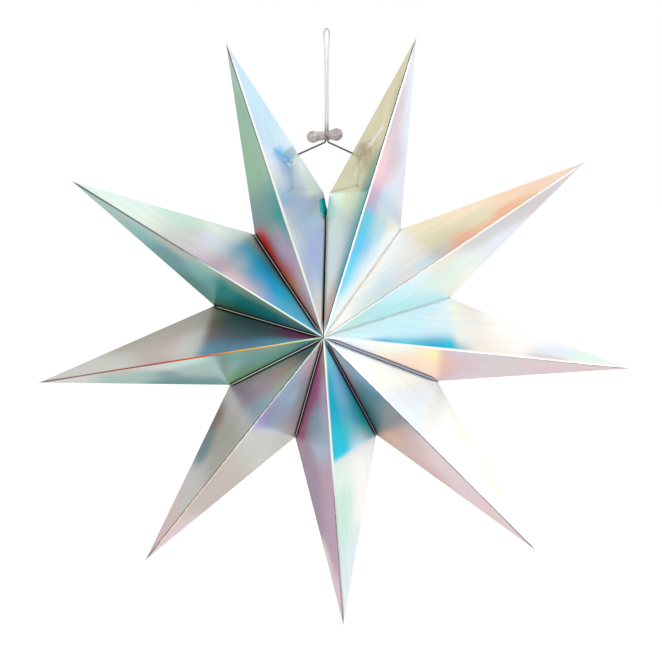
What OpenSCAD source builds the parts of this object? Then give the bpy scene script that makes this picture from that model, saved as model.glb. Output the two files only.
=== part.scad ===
// Nine-pointed folded star of stiff foil card, hanging from a thin clear cord with a clear stop on it.
// The origin is where the cord's loop hangs. +Z is up, and the front of the star faces -Y.

/* [Star] */
// Distance of each tip from the star's centre
tip_r = 300; // [260:5:340]
// Distance of each valley corner from the star's centre
valley_r = 120; // [105:5:135]
// Height of the hub above the star's middle plane, front and back
hub_h = 100; // [80:5:120]
// Angle between the two top tips, which are less far apart than the others
top_pitch = 37.1; // [35:0.5:39]

/* [Card] */
// Thickness of the card
card_t = 0.4; // [0.3:0.05:0.6]
// Width of the rounded-off strip along each outside fold
fold_w = 1.6; // [1:0.2:2.4]
// Width of the flanges that turn in along the valleys
flange_w = 8; // [5:1:12]
// Width of the cut between a front flange and a back flange, at the valley corner
relief_w = 2; // [1:0.5:4]
// Thickness of the glue between two flanges
glue_t = 0.1; // [0.05:0.05:0.2]
// Radius of the small hole where the sheets meet at the hub
hub_r = 2.5; // [2:0.5:5]

/* [Open valley at the top] */
// Distance of the two free valley corners from the centre, before they spread
free_valley_r = 125; // [118:1:135]
// Gap between the two free flanges
slit_w = 1; // [0.6:0.2:2]
// Distance from the centre where the two free edges begin to spread
spread_from = 110; // [100:1:115]
// How far the free edges slope apart, as an angle for each
spread_angle = 9; // [4:0.5:12]

/* [Cord and its stop] */
// Diameter of the cord
cord_d = 1.8; // [1.4:0.1:2]
// Distance from each top tip to its cord hole, along the crease
hole_from_tip = 132; // [120:2:145]
// Diameter of the two cord holes
hole_d = 3; // [2.6:0.1:3.6]
// Diameter of the knots inside the two top points
knot_d = 4.6; // [4.2:0.1:5.4]
// Gap between the stop's slot and the cord, all round
slot_gap = 0.3; // [0.2:0.05:0.4]
// Diameter of the stop's waist
waist_d = 9.6; // [8:0.2:11]
// Diameter of the stop's left end
left_end_d = 12; // [11.6:0.2:14]
// Diameter of the stop's right end
right_end_d = 12.6; // [11.6:0.2:14]
// Distance between the middles of the stop's two ends
stop_pitch = 23.6; // [20:0.2:30]
// How far the stop's middle lies to the left of the cord
stop_off = 2; // [0:0.5:4]
// How far the stop tilts, right end up
stop_tilt = 5.5; // [0:0.5:8]

/* [Hanging] */
// Distance of the star's centre below the loop
hang_drop = 295.4; // [285:1:305]
// Distance of the star's centre to the right of the loop
hang_off = 4.3; // [0:0.5:8]
// How far the star leans to the left as it hangs
hang_lean = 2.2; // [0:0.2:4]
// Distance of the stop's middle below the loop
stop_drop = 104.5; // [100:0.5:106]

/* [Hidden] */

// The tips: two at the top, top_pitch apart, and seven more that share the rest of the circle evenly.
tip_count = 9;
top_half = top_pitch / 2;
pitch = (360 - top_pitch) / (tip_count - 1);
half = pitch / 2;

front_hub = [0, -hub_h, 0];
back_hub = [0, hub_h, 0];
tip = [0, 0, tip_r];

// Half the size of the block that stands for a half-space.
far = 3 * tip_r;
// Depth of a flange window's cutter on each side of its wall.
cutter_deep = 4;
// Distance that cutters run past what they cut.
past = 5;

function unit(v) = v / norm(v);
function lerp(a, b, t) = a + (b - a) * t;

// A direction in the middle plane, clockwise from up.
function spoke(angle) = [sin(angle), 0, cos(angle)];

// A plane is [outward normal, distance from the centre]. The core is any place inside the point.
core = [0, 0, valley_r / 2];
function outward(n, a) = n * (a - core) < 0 ? [-n, -n * a] : [n, n * a];
function plane(a, b, c) = outward(unit(cross(b - a, c - a)), a);
function moved_in(p, by) = [p[0], p[1] - by];

// The strip that rounds off the fold between two planes, which meet on a line through a.
function fold(p, q, a) =
    let(n = unit(p[0] + q[0]), c = n * p[0])
    [n, n * a - fold_w / 2 * sqrt(1 - c * c) / c];

// The planes of one side of a point: its front and back panel, its wall, and its outer fold.
function side_planes(angle, r, wall_gap) =
    let(
        corner = r * spoke(angle),
        front = plane(front_hub, tip, corner),
        back = plane(back_hub, tip, corner)
    )
    [front, back, moved_in(plane(front_hub, back_hub, corner), wall_gap), fold(front, back, tip)];

// All the planes of a point with its tip up.
function point_planes(left, right) =
    concat(left, right, [fold(left[0], right[0], tip), fold(left[1], right[1], tip)]);

// The plane on which a free edge spreads away from the star's middle.
function spread_plane(angle) =
    let(
        start = spread_from * spoke(angle) - slit_w / 2 * spoke(angle + 90),
        along = spoke(angle - spread_angle)
    )
    plane(start, start + along, start + [0, 1, 0]);

glued_left = side_planes(-half, valley_r, glue_t / 2);
glued_right = side_planes(half, valley_r, glue_t / 2);
free_right = concat(side_planes(top_half, free_valley_r, slit_w / 2), [spread_plane(top_half)]);

// Everything on the inner side of a plane.
module inner_side(p) {
    n = p[0];
    rotate([0, acos(n.z), atan2(n.y, n.x)])
        translate([-far, -far, p[1] - 2 * far]) cube(2 * far);
}

module pocket(planes, inset) {
    intersection_for (p = planes) inner_side(moved_in(p, inset));
}

// The opening between the flanges of one wall, with the relief cut at its corner.
module flange_window(angle, r) {
    slope = norm([r, hub_h]);
    wide = hub_h - flange_w * slope / r;
    high = r - flange_w * slope / hub_h;
    rotate([0, angle, 0]) rotate([90, 0, 90]) translate([0, 0, -cutter_deep])
        linear_extrude(2 * cutter_deep) {
            polygon([[-wide, -past], [wide, -past], [wide, 0], [0, high], [-wide, 0]]);
            translate([-relief_w / 2, 0]) square([relief_w, r + past]);
        }
}

module hub_hole() {
    rotate([90, 0, 0]) cylinder(h = 2 * hub_h + 2 * past, r = hub_r, center = true, $fn = 48);
}

// One folded sheet with its tip up, between a left and a right valley.
module folded_point(planes) {
    difference() {
        pocket(planes, 0);
        pocket(planes, card_t);
        hub_hole();
        children();
    }
}

module glued_point(angle) {
    rotate([0, angle, 0]) folded_point(point_planes(glued_left, glued_right)) {
        flange_window(-half, valley_r);
        flange_window(half, valley_r);
    }
}

// The left top point's free crease, with its cord hole, in the star's own frame.
free_corner = free_valley_r * spoke(0);
free_tip = tip_r * spoke(-top_half);
crease = unit(free_corner - free_tip);
hole_at = free_tip + hole_from_tip * crease;
hole_out = unit(cross([0, 1, 0], -crease));

module cord_hole() {
    rotate([0, top_half, 0]) translate(hole_at) rotate([0, atan2(hole_out.x, hole_out.z), 0])
        cylinder(h = 2 * past, d = hole_d, center = true, $fn = 48);
}

// The left one of the two top points, with its free edge on the right.
module end_point() {
    rotate([0, -top_half, 0]) folded_point(point_planes(glued_left, free_right)) {
        flange_window(-half, valley_r);
        flange_window(top_half, free_valley_r);
        cord_hole();
    }
}

module hang() {
    translate([hang_off, 0, -hang_drop]) rotate([0, -hang_lean, 0]) children();
}

// The point with the given number, counted clockwise from the left one of the two top points.
module point(number) {
    color("lightsteelblue") hang() {
        if (number == 1) end_point();
        if (number == 2) mirror([1, 0, 0]) end_point();
        if (number > 2) glued_point(top_half + (number - 2) * pitch);
    }
}

// A place in the star's own frame, as it hangs.
function hung(p) =
    [hang_off + p.x * cos(hang_lean) - p.z * sin(hang_lean), 0,
        -hang_drop + p.x * sin(hang_lean) + p.z * cos(hang_lean)];
function mirrored(p) = [-p.x, p.y, p.z];

// Each knot lies inside the crease, drawn up against the two panels.
crease_half_angle = let(c = free_right[0][0] * free_right[1][0]) (180 - acos(c)) / 2;
knot_in = (card_t + knot_d / 2 + slot_gap) / sin(crease_half_angle);
knot_place = hole_at - knot_in * hole_out;
knot_left_at = hung(knot_place);
knot_right_at = hung(mirrored(knot_place));

// One strand of the cord, as [distance from the middle, height], from the leg's bend to the loop.
strand = [
    [2.6, -111.4], [1.6, -110.5], [1.1, -109], [1.1, -106], [1.1, -98], [1.1, -90], [1.1, -82],
    [1.1, -74], [1.1, -66], [1.1, -58], [1.1, -50], [1.2, -42], [1.35, -34], [1.5, -26], [1.8, -19],
    [2.2, -13], [2.5, -7.5], [2.6, -3.5], [1.9, -0.8]
];
loop_top = [0, 0, cord_d / 2];
// The leg from a knot to the bend is straight, with this many steps.
leg_steps = 4;
// Each knot has a flat where the cord comes out of it, this far from its middle.
knot_flat = 0.8 * knot_d / 2;
// Each stretch of the route is this many stretches of tube.
smooth_steps = 2;
tube_sides = 8;

function last(list) = list[len(list) - 1];
function leg(knot, bend) =
    let(start = knot + knot_flat * unit(bend - knot))
    [for (i = [0 : leg_steps - 1]) lerp(start, bend, i / leg_steps)];
function side_route(knot, side) =
    let(up = [for (p = strand) [side * p[0], 0, p[1]]])
    concat(leg(knot, up[0]), up);
function reversed(list) = [for (i = [len(list) - 1 : -1 : 0]) list[i]];
route = concat(side_route(knot_left_at, -1), [loop_top], reversed(side_route(knot_right_at, 1)));

// A smooth line through the route's points.
function through(a, b, c, d, t) =
    0.5 * (2 * b + (c - a) * t + (2 * a - 5 * b + 4 * c - d) * t * t + (3 * b - a - 3 * c + d) * t * t * t);
function smooth(list) =
    let(n = len(list))
    concat(
        [for (i = [0 : n - 2], k = [0 : smooth_steps - 1])
            through(list[max(i - 1, 0)], list[i], list[i + 1], list[min(i + 2, n - 1)], k / smooth_steps)],
        [last(list)]
    );

// A tube along a line that lies in the middle plane.
module tube(line, d) {
    n = len(line);
    points = [
        for (i = [0 : n - 1])
            let(
                along = unit(line[min(i + 1, n - 1)] - line[max(i - 1, 0)]),
                across = cross(along, [0, 1, 0])
            )
            for (k = [0 : tube_sides - 1])
                let(turn = 360 * k / tube_sides)
                line[i] + d / 2 * (cos(turn) * across + sin(turn) * [0, 1, 0])
    ];
    sides = [
        for (i = [0 : n - 2], k = [0 : tube_sides - 1])
            let(a = i * tube_sides + k, b = i * tube_sides + (k + 1) % tube_sides)
            [a, b, b + tube_sides, a + tube_sides]
    ];
    first_end = [for (k = [tube_sides - 1 : -1 : 0]) k];
    last_end = [for (k = [0 : tube_sides - 1]) (n - 1) * tube_sides + k];
    polyhedron(points, concat(sides, [first_end, last_end]));
}

module cord() {
    color("gainsboro") tube(smooth(route), cord_d);
}

// A knot, with its flat towards the bend of its leg.
module knot(at, bend) {
    along = unit(bend - at);
    color("gainsboro") translate(at) rotate([0, atan2(along.x, along.z), 0])
        intersection() {
            sphere(d = knot_d, $fn = 48);
            translate([-knot_d, -knot_d, knot_flat - 2 * knot_d]) cube(2 * knot_d);
        }
}

module cord_stop() {
    strand_off = strand[3][0];
    slot_r = cord_d / 2 + slot_gap;
    slot_h = 2 * waist_d;
    color("gainsboro") difference() {
        translate([-stop_off, 0, -stop_drop]) rotate([0, 90 - stop_tilt, 0]) {
            cylinder(h = stop_pitch, d = waist_d, center = true, $fn = 64);
            translate([0, 0, -stop_pitch / 2]) sphere(d = left_end_d, $fn = 64);
            translate([0, 0, stop_pitch / 2]) sphere(d = right_end_d, $fn = 64);
        }
        translate([0, 0, -stop_drop]) {
            for (side = [-1, 1])
                translate([side * strand_off, 0, 0]) cylinder(h = slot_h, r = slot_r, center = true, $fn = 48);
            cube([2 * strand_off, 2 * slot_r, slot_h], center = true);
        }
    }
}

point(1);  // point_1
point(2);  // point_2
point(3);  // point_3
point(4);  // point_4
point(5);  // point_5
point(6);  // point_6
point(7);  // point_7
point(8);  // point_8
point(9);  // point_9
cord();
knot(knot_left_at, [-strand[0][0], 0, strand[0][1]]);  // knot_left
knot(knot_right_at, [strand[0][0], 0, strand[0][1]]);  // knot_right
cord_stop();
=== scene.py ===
"""A folded foil star that hangs on a clear cord. Lengths are in metres and angles in degrees."""

import math

import bmesh
import bpy
import numpy as np
from mathutils import Matrix, Vector


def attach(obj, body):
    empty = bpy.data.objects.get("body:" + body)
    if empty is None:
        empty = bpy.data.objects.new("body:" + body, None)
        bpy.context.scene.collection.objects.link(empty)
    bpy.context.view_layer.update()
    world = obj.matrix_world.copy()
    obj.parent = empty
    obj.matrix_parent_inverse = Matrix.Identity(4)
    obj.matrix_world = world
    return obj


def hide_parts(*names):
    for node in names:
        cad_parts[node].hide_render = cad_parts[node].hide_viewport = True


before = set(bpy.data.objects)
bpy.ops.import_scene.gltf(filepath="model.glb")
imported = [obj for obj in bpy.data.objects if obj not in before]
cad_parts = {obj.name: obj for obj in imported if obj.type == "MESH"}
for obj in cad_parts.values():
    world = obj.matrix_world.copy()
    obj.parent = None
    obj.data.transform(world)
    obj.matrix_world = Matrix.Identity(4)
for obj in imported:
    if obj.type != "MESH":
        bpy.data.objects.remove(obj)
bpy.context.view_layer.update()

MM = 0.001

# The star, as its solids have it
TIP_R = 300 * MM
VALLEY_R = 120 * MM
FREE_VALLEY_R = 125 * MM
HUB_H = 100 * MM
CARD_T = 0.4 * MM
GLUE_T = 0.1 * MM
SLIT_W = 1 * MM
FLANGE_W = 8 * MM
RELIEF_W = 2 * MM
SPREAD_FROM = 110 * MM
SPREAD_ANGLE = 9
TIP_COUNT = 9
TOP_PITCH = 37.1
TOP_HALF = TOP_PITCH / 2
PITCH = (360 - TOP_PITCH) / (TIP_COUNT - 1)
HALF = PITCH / 2

# Where the sheets begin at the hub: nearer to its middle than the solids, which have a plain round hole
HUB_START = 0.8 * MM

# The real star is a little uneven: how far the hub, each tip and each valley corner lies from its even
# place, in mm as (right, up). A corner has the number of the point before it, clockwise.
HUB_SHIFT = (0.5, -1)
TIP_SHIFT = {
    1: (2, 1.5), 2: (0, 0), 3: (-1.5, 0), 4: (-3, -1.5), 5: (2, -0.5), 6: (1, -0.5), 7: (-2.5, -0.5),
    8: (-1.5, 2.5), 9: (3, 0.5),
}
CORNER_SHIFT = {
    2: (-2, 2.5), 3: (1, 3.5), 4: (-0.5, 2.5), 5: (0, 4), 6: (1, 4), 7: (0.5, 5), 8: (1.5, 3.5),
    9: (2.5, 2.5),
}
FREE_CORNER_SHIFT = {"left": (1.3, 4), "right": (0, 3)}

# How it hangs from the loop, which is the origin
HANG_DROP = 295.4 * MM
HANG_OFF = 4.3 * MM
HANG_LEAN = 2.2

# Roundings and small forms of the folded card, and the share of a narrow panel that a rounding may take
RIDGE_RADIUS = 0.7 * MM
RIDGE_SHARE = 0.42
OUTER_RADIUS = 0.8 * MM
OUTER_SHARE = 0.3
LIP_W = 0.65 * MM
LIP_H = 1.1 * MM
WIDE_LIP_W = 2.5 * MM
LIP_FADE = 14 * MM
SOFTEN = 5 * MM
NARROWEST = 0.02 * MM

# Where the left top point's flange has sprung open, beside the slit
OPEN_FROM = 99.5 * MM
OPEN_TO = 121 * MM
OPEN_EDGE = 0.8 * MM
OPEN_FADE = 12 * MM
OPEN_W = 5.2 * MM

# How finely each panel is divided: rows inside and outside its corners, and columns across it.
# The two front panels beside the slit are finer, for the marks of the cord.
ROWS = (36, 58)
TOP_ROWS = (44, 120)
COLUMNS = 12
FINE_COLUMNS = 34
RIDGE_STEPS = 3
OUTER_STEPS = 3
LIP_STEPS = 6
FLANGE_STEPS = 4
EDGE_COLUMNS = np.array([0, 0.35, 0.7, 1.05, 1.4, 2.0, 2.8]) * MM
EDGE_COLUMNS_FULL_W = 9 * MM
# How far apart the foil's streaks and clouds are taken from one panel to the next
SHEETS_APART = 0.1
# Rows this near to a corner are at it, in metres, and vertices and edges this small are merged
SAME = 1e-7
MERGE = 0.02 * MM
DEGENERATE = 0.01 * MM
# Folds sharper than this are drawn as edges
SHARP_ANGLE = 28
STOP_SHARP_ANGLE = 35

STAR_MIDDLE = Vector((HANG_OFF, 0, -HANG_DROP))

# The camera, where the photograph was taken
CAMERA_AZIMUTH = 4.4
CAMERA_ELEVATION = 4.7
CAMERA_DISTANCE = 2.5
FRAME_PIXELS = 662
FOCAL_PIXELS = 2510
SENSOR_MM = 36
AIM_PIXELS_UP = 3.05


def spoke(angle):
    """The direction in the star's middle plane, clockwise from up."""
    a = math.radians(angle)
    return np.array([math.sin(a), 0.0, math.cos(a)])


def smooth_step(x):
    x = np.clip(x, 0.0, 1.0)
    return x * x * (3 - 2 * x)


def hang_matrix():
    return Matrix.Translation(STAR_MIDDLE) @ Matrix.Rotation(math.radians(-HANG_LEAN), 4, "Y")


def point_before(number):
    """The next point counter-clockwise, which also gives its number to the valley between the two."""
    return (number - 2) % TIP_COUNT + 1


def tip_angle(number):
    return -TOP_HALF if number == 1 else TOP_HALF + (number - 2) * PITCH


def placed(number, places):
    """Places of a point with its tip up, as it hangs, with the star's unevenness."""
    tip = np.array(TIP_SHIFT[number])
    left = FREE_CORNER_SHIFT["right"] if number == 2 else CORNER_SHIFT[point_before(number)]
    right = FREE_CORNER_SHIFT["left"] if number == 1 else CORNER_SHIFT[number]
    free_reach, reach = FREE_VALLEY_R * spoke(TOP_HALF)[0], VALLEY_R * spoke(HALF)[0]
    left_reach = free_reach if number == 2 else reach
    right_reach = free_reach if number == 1 else reach
    x, y = places[..., 0], places[..., 1]
    at_hub = np.clip(np.abs(y) / HUB_H, 0, 1)
    at_corner = np.where(x < 0, -x / left_reach, x / right_reach)
    corner = np.where((x < 0)[..., None], np.array(left), np.array(right))
    at_tip = np.clip(1 - at_hub - at_corner, 0, 1)
    shift = (
        at_hub[..., None] * np.array(HUB_SHIFT) + at_corner[..., None] * corner + at_tip[..., None] * tip
    ) * MM
    turn = np.array(hang_matrix() @ Matrix.Rotation(math.radians(tip_angle(number)), 4, "Y"))
    out = places @ turn[:3, :3].T + turn[:3, 3]
    out[..., 0] += shift[..., 0]
    out[..., 2] += shift[..., 1]
    return out


def add_object(name, data):
    obj = bpy.data.objects.new(name, data)
    bpy.context.collection.objects.link(obj)
    return obj


def mesh_object(name, bm, *materials):
    mesh = bpy.data.meshes.new(name)
    bm.to_mesh(mesh)
    bm.free()
    for material in materials:
        mesh.materials.append(material)
    return add_object(name, mesh)


def make_camera():
    a, e = math.radians(CAMERA_AZIMUTH), math.radians(CAMERA_ELEVATION)
    back = Vector((math.sin(a) * math.cos(e), -math.cos(a) * math.cos(e), math.sin(e)))
    data = bpy.data.cameras.new("camera")
    data.sensor_width = SENSOR_MM
    data.lens = FOCAL_PIXELS / FRAME_PIXELS * SENSOR_MM
    data.shift_y = -AIM_PIXELS_UP / FRAME_PIXELS
    camera = add_object("camera", data)
    camera.location = STAR_MIDDLE + back * CAMERA_DISTANCE
    camera.rotation_mode = "QUATERNION"
    camera.rotation_quaternion = (-back).to_track_quat("-Z", "Y")
    bpy.context.scene.camera = camera


# Materials
def srgb(r, g, b):
    """A colour as it is seen, in linear light."""
    return tuple(c / 12.92 if c <= 0.04045 else ((c + 0.055) / 1.055) ** 2.4 for c in (r, g, b))


# The faint rainbow in the foil: (how far along its noise, colour)
RAINBOW = [
    (0.32, (1.00, 0.92, 0.95)), (0.42, (1.00, 0.98, 0.90)), (0.50, (0.93, 1.00, 0.96)),
    (0.58, (0.91, 0.97, 1.00)), (0.68, (0.97, 0.93, 1.00)),
]
RAINBOW_SHARE = 0.22

# The painted black shade of a groove has no gloss: it grows to its full value up to this brightness of the
# paint
FULL_GLOSS = 0.5
GLOSSY_PAINT = 0.03

# The cord's tones from its legs up to its loop: (how far up, colour)
CORD_TONES = [
    (0.00, (0.30, 0.26, 0.30)), (0.10, (0.38, 0.34, 0.38)), (0.20, (0.42, 0.38, 0.41)),
    (0.30, (0.92, 0.90, 0.92)), (0.90, (0.96, 0.95, 0.96)), (1.00, (0.80, 0.78, 0.80)),
]
CORD_TONES_FROM = -128 * MM
CORD_TONES_TO = 2 * MM


def new_material(name):
    material = bpy.data.materials.new(name)
    material.use_nodes = True
    nodes = material.node_tree.nodes
    return material, nodes, material.node_tree.links, nodes["Principled BSDF"]


def attribute_node(nodes, name):
    node = nodes.new("ShaderNodeAttribute")
    node.attribute_name = name
    return node


def noise_node(nodes, links, vector, scale, detail, stretch=(1, 1, 1)):
    mapping = nodes.new("ShaderNodeMapping")
    mapping.inputs["Scale"].default_value = stretch
    links.new(vector, mapping.inputs["Vector"])
    noise = nodes.new("ShaderNodeTexNoise")
    noise.inputs["Scale"].default_value = scale
    noise.inputs["Detail"].default_value = detail
    links.new(mapping.outputs["Vector"], noise.inputs["Vector"])
    return noise.outputs["Fac"]


def map_range(nodes, links, value, low, high, from_low=0.0, from_high=1.0):
    node = nodes.new("ShaderNodeMapRange")
    node.inputs["From Min"].default_value = from_low
    node.inputs["From Max"].default_value = from_high
    node.inputs["To Min"].default_value = low
    node.inputs["To Max"].default_value = high
    links.new(value, node.inputs["Value"])
    return node.outputs["Result"]


def ramp_node(nodes, links, value, stops):
    """A colour ramp through its stops: (how far along, the colour as it is seen)."""
    ramp = nodes.new("ShaderNodeValToRGB")
    elements = ramp.color_ramp.elements
    elements[0].position, elements[1].position = stops[0][0], stops[-1][0]
    for at, _ in stops[1:-1]:
        elements.new(at)
    for element, (_, seen) in zip(elements, stops):
        element.color = (*srgb(*seen), 1)
    links.new(value, ramp.inputs["Fac"])
    return ramp.outputs["Color"]


def bump_node(nodes, links, height, strength, distance):
    bump = nodes.new("ShaderNodeBump")
    bump.inputs["Strength"].default_value = strength
    bump.inputs["Distance"].default_value = distance
    links.new(height, bump.inputs["Height"])
    return bump.outputs["Normal"]


def foil_material():
    """Iridescent metal foil: painted fields of colour, partly painted reflection and shade, with fine
    streaks, dull spots and a soft grain.
    """
    material, nodes, links, shader = new_material("foil")
    paint = attribute_node(nodes, "paint").outputs["Color"]
    sheet = attribute_node(nodes, "sheet").outputs["Vector"]

    streaks = noise_node(nodes, links, sheet, 260, 4, (1.6, 0.06, 1))
    clouds = noise_node(nodes, links, sheet, 22, 3)
    hue = nodes.new("ShaderNodeHueSaturation")
    links.new(paint, hue.inputs["Color"])
    links.new(map_range(nodes, links, clouds, 0.48, 0.52, 0.3, 0.7), hue.inputs["Hue"])
    links.new(map_range(nodes, links, streaks, 0.955, 1.035, 0.3, 0.7), hue.inputs["Value"])

    bands = noise_node(nodes, links, sheet, 130, 3, (1.2, 0.12, 1))
    rainbow = ramp_node(nodes, links, bands, RAINBOW)
    tint = nodes.new("ShaderNodeMix")
    tint.data_type = "RGBA"
    tint.blend_type = "MULTIPLY"
    tint.inputs["Factor"].default_value = RAINBOW_SHARE
    links.new(hue.outputs["Color"], tint.inputs["A"])
    links.new(rainbow, tint.inputs["B"])
    links.new(tint.outputs["Result"], shader.inputs["Base Color"])
    brightness = nodes.new("ShaderNodeRGBToBW")
    links.new(paint, brightness.inputs["Color"])
    gloss = map_range(nodes, links, brightness.outputs["Val"], 0, FULL_GLOSS, 0, GLOSSY_PAINT)
    links.new(gloss, shader.inputs["Specular IOR Level"])

    links.new(map_range(nodes, links, clouds, 0.16, 0.26, 0.3, 0.7), shader.inputs["Roughness"])
    grain = noise_node(nodes, links, sheet, 900, 2)
    links.new(bump_node(nodes, links, grain, 0.05, 0.2 * MM), shader.inputs["Normal"])
    shader.inputs["Metallic"].default_value = 0.5
    return material


def card_material():
    """The white inside and the cut edges of the card."""
    material, nodes, links, shader = new_material("card_inside")
    place = nodes.new("ShaderNodeTexCoord").outputs["Object"]
    fibres = noise_node(nodes, links, place, 700, 5)
    white = ramp_node(nodes, links, fibres, [(0, (0.80, 0.79, 0.77)), (1, (0.95, 0.94, 0.92))])
    links.new(white, shader.inputs["Base Color"])
    shader.inputs["Roughness"].default_value = 0.8
    return material


def cord_material():
    """Clear cord, which looks darker along its legs and just above the stop."""
    material, nodes, links, shader = new_material("clear_cord")
    place = nodes.new("ShaderNodeTexCoord").outputs["Object"]
    split = nodes.new("ShaderNodeSeparateXYZ")
    links.new(place, split.inputs["Vector"])
    height = map_range(nodes, links, split.outputs["Z"], 0, 1, CORD_TONES_FROM, CORD_TONES_TO)
    links.new(ramp_node(nodes, links, height, CORD_TONES), shader.inputs["Base Color"])
    twist = noise_node(nodes, links, place, 90, 2)
    links.new(map_range(nodes, links, twist, 0.14, 0.2, 0.3, 0.7), shader.inputs["Roughness"])
    shader.inputs["Transmission Weight"].default_value = 0.5
    shader.inputs["IOR"].default_value = 1.45
    return material


def stop_material():
    """Clear moulded plastic, a little smoky, with flow marks inside."""
    material, nodes, links, shader = new_material("clear_plastic")
    place = nodes.new("ShaderNodeTexCoord").outputs["Object"]
    flow = noise_node(nodes, links, place, 330, 3, (0.45, 1, 1))
    smoke = ramp_node(nodes, links, flow, [(0.32, (0.56, 0.52, 0.50)), (0.62, (0.86, 0.82, 0.81))])
    links.new(smoke, shader.inputs["Base Color"])
    marks = noise_node(nodes, links, place, 420, 2)
    links.new(bump_node(nodes, links, marks, 0.5, 0.6 * MM), shader.inputs["Normal"])
    shader.inputs["Roughness"].default_value = 0.14
    shader.inputs["Transmission Weight"].default_value = 0.6
    shader.inputs["IOR"].default_value = 1.47
    return material


# Colours of the foil, as they are seen. bright, bright_mint and blaze lie above 1: painted light, making
# fields lighter than the lamps leave them.
PALETTE = {
    "amber": (0.97, 0.72, 0.20),
    "apricot": (0.94, 0.73, 0.58),
    "aqua": (0.76, 0.91, 0.91),
    "azure": (0.00, 0.54, 0.76),
    "blaze": (1.06, 1.06, 1.04),
    "bright": (0.99, 1.08, 1.13),
    "bright_mint": (1.01, 1.08, 1.02),
    "bright_teal": (0.00, 0.66, 0.66),
    "brown": (0.50, 0.40, 0.37),
    "butter": (0.99, 0.89, 0.66),
    "cerulean": (0.40, 0.70, 0.82),
    "coral": (0.99, 0.56, 0.50),
    "cornflower": (0.54, 0.74, 0.90),
    "cream": (0.99, 0.93, 0.79),
    "crimson": (0.78, 0.08, 0.26),
    "dark_grey": (0.34, 0.36, 0.37),
    "dark_sea": (0.30, 0.53, 0.53),
    "deep_green": (0.10, 0.42, 0.38),
    "deep_teal": (0.00, 0.54, 0.55),
    "dusty_pink": (0.86, 0.76, 0.77),
    "dusty_rose": (0.77, 0.65, 0.65),
    "flame": (0.90, 0.30, 0.08),
    "frost": (0.86, 0.90, 0.91),
    "graphite": (0.43, 0.45, 0.46),
    "green": (0.44, 0.66, 0.42),
    "greige": (0.76, 0.71, 0.68),
    "haze": (0.62, 0.69, 0.76),
    "ice": (0.90, 0.96, 0.99),
    "ivory": (0.99, 0.97, 0.94),
    "khaki": (0.84, 0.79, 0.65),
    "lagoon": (0.34, 0.68, 0.84),
    "lake": (0.10, 0.63, 0.82),
    "lavender": (0.89, 0.91, 0.96),
    "lime": (0.66, 0.90, 0.45),
    "magenta": (0.54, 0.19, 0.38),
    "mauve": (0.68, 0.56, 0.64),
    "mint": (0.78, 0.90, 0.85),
    "mist": (0.82, 0.79, 0.80),
    "moss": (0.20, 0.36, 0.20),
    "olive": (0.60, 0.60, 0.46),
    "orange": (0.92, 0.43, 0.22),
    "orchid": (0.85, 0.72, 0.80),
    "pale_mint": (0.89, 0.95, 0.91),
    "pale_sky": (0.78, 0.90, 0.97),
    "pale_yellow": (0.98, 0.98, 0.90),
    "peach": (0.98, 0.85, 0.74),
    "periwinkle": (0.66, 0.73, 0.91),
    "petrol": (0.00, 0.38, 0.46),
    "pink": (0.97, 0.81, 0.84),
    "plum": (0.58, 0.49, 0.56),
    "rose_brown": (0.74, 0.55, 0.52),
    "rust": (0.60, 0.28, 0.18),
    "sage": (0.54, 0.69, 0.58),
    "sea": (0.40, 0.66, 0.63),
    "silver": (0.80, 0.80, 0.78),
    "sky": (0.40, 0.78, 0.97),
    "slate": (0.42, 0.53, 0.56),
    "soft_peach": (0.98, 0.90, 0.85),
    "soot": (0.17, 0.25, 0.25),
    "steel": (0.42, 0.57, 0.68),
    "straw": (0.90, 0.87, 0.73),
    "tan": (0.83, 0.64, 0.50),
    "taupe": (0.67, 0.66, 0.62),
    "teal_grey": (0.60, 0.71, 0.69),
    "thistle": (0.84, 0.78, 0.82),
    "turquoise": (0.00, 0.70, 0.80),
    "umber": (0.40, 0.37, 0.33),
    "violet": (0.62, 0.60, 0.80),
    "violet_grey": (0.66, 0.64, 0.72),
    "white": (0.98, 0.98, 0.98),
    "wine": (0.42, 0.13, 0.27),
    "wisteria": (0.73, 0.69, 0.88),
}
LINEAR = {name: np.array(srgb(*seen)) for name, seen in PALETTE.items()}
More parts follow.
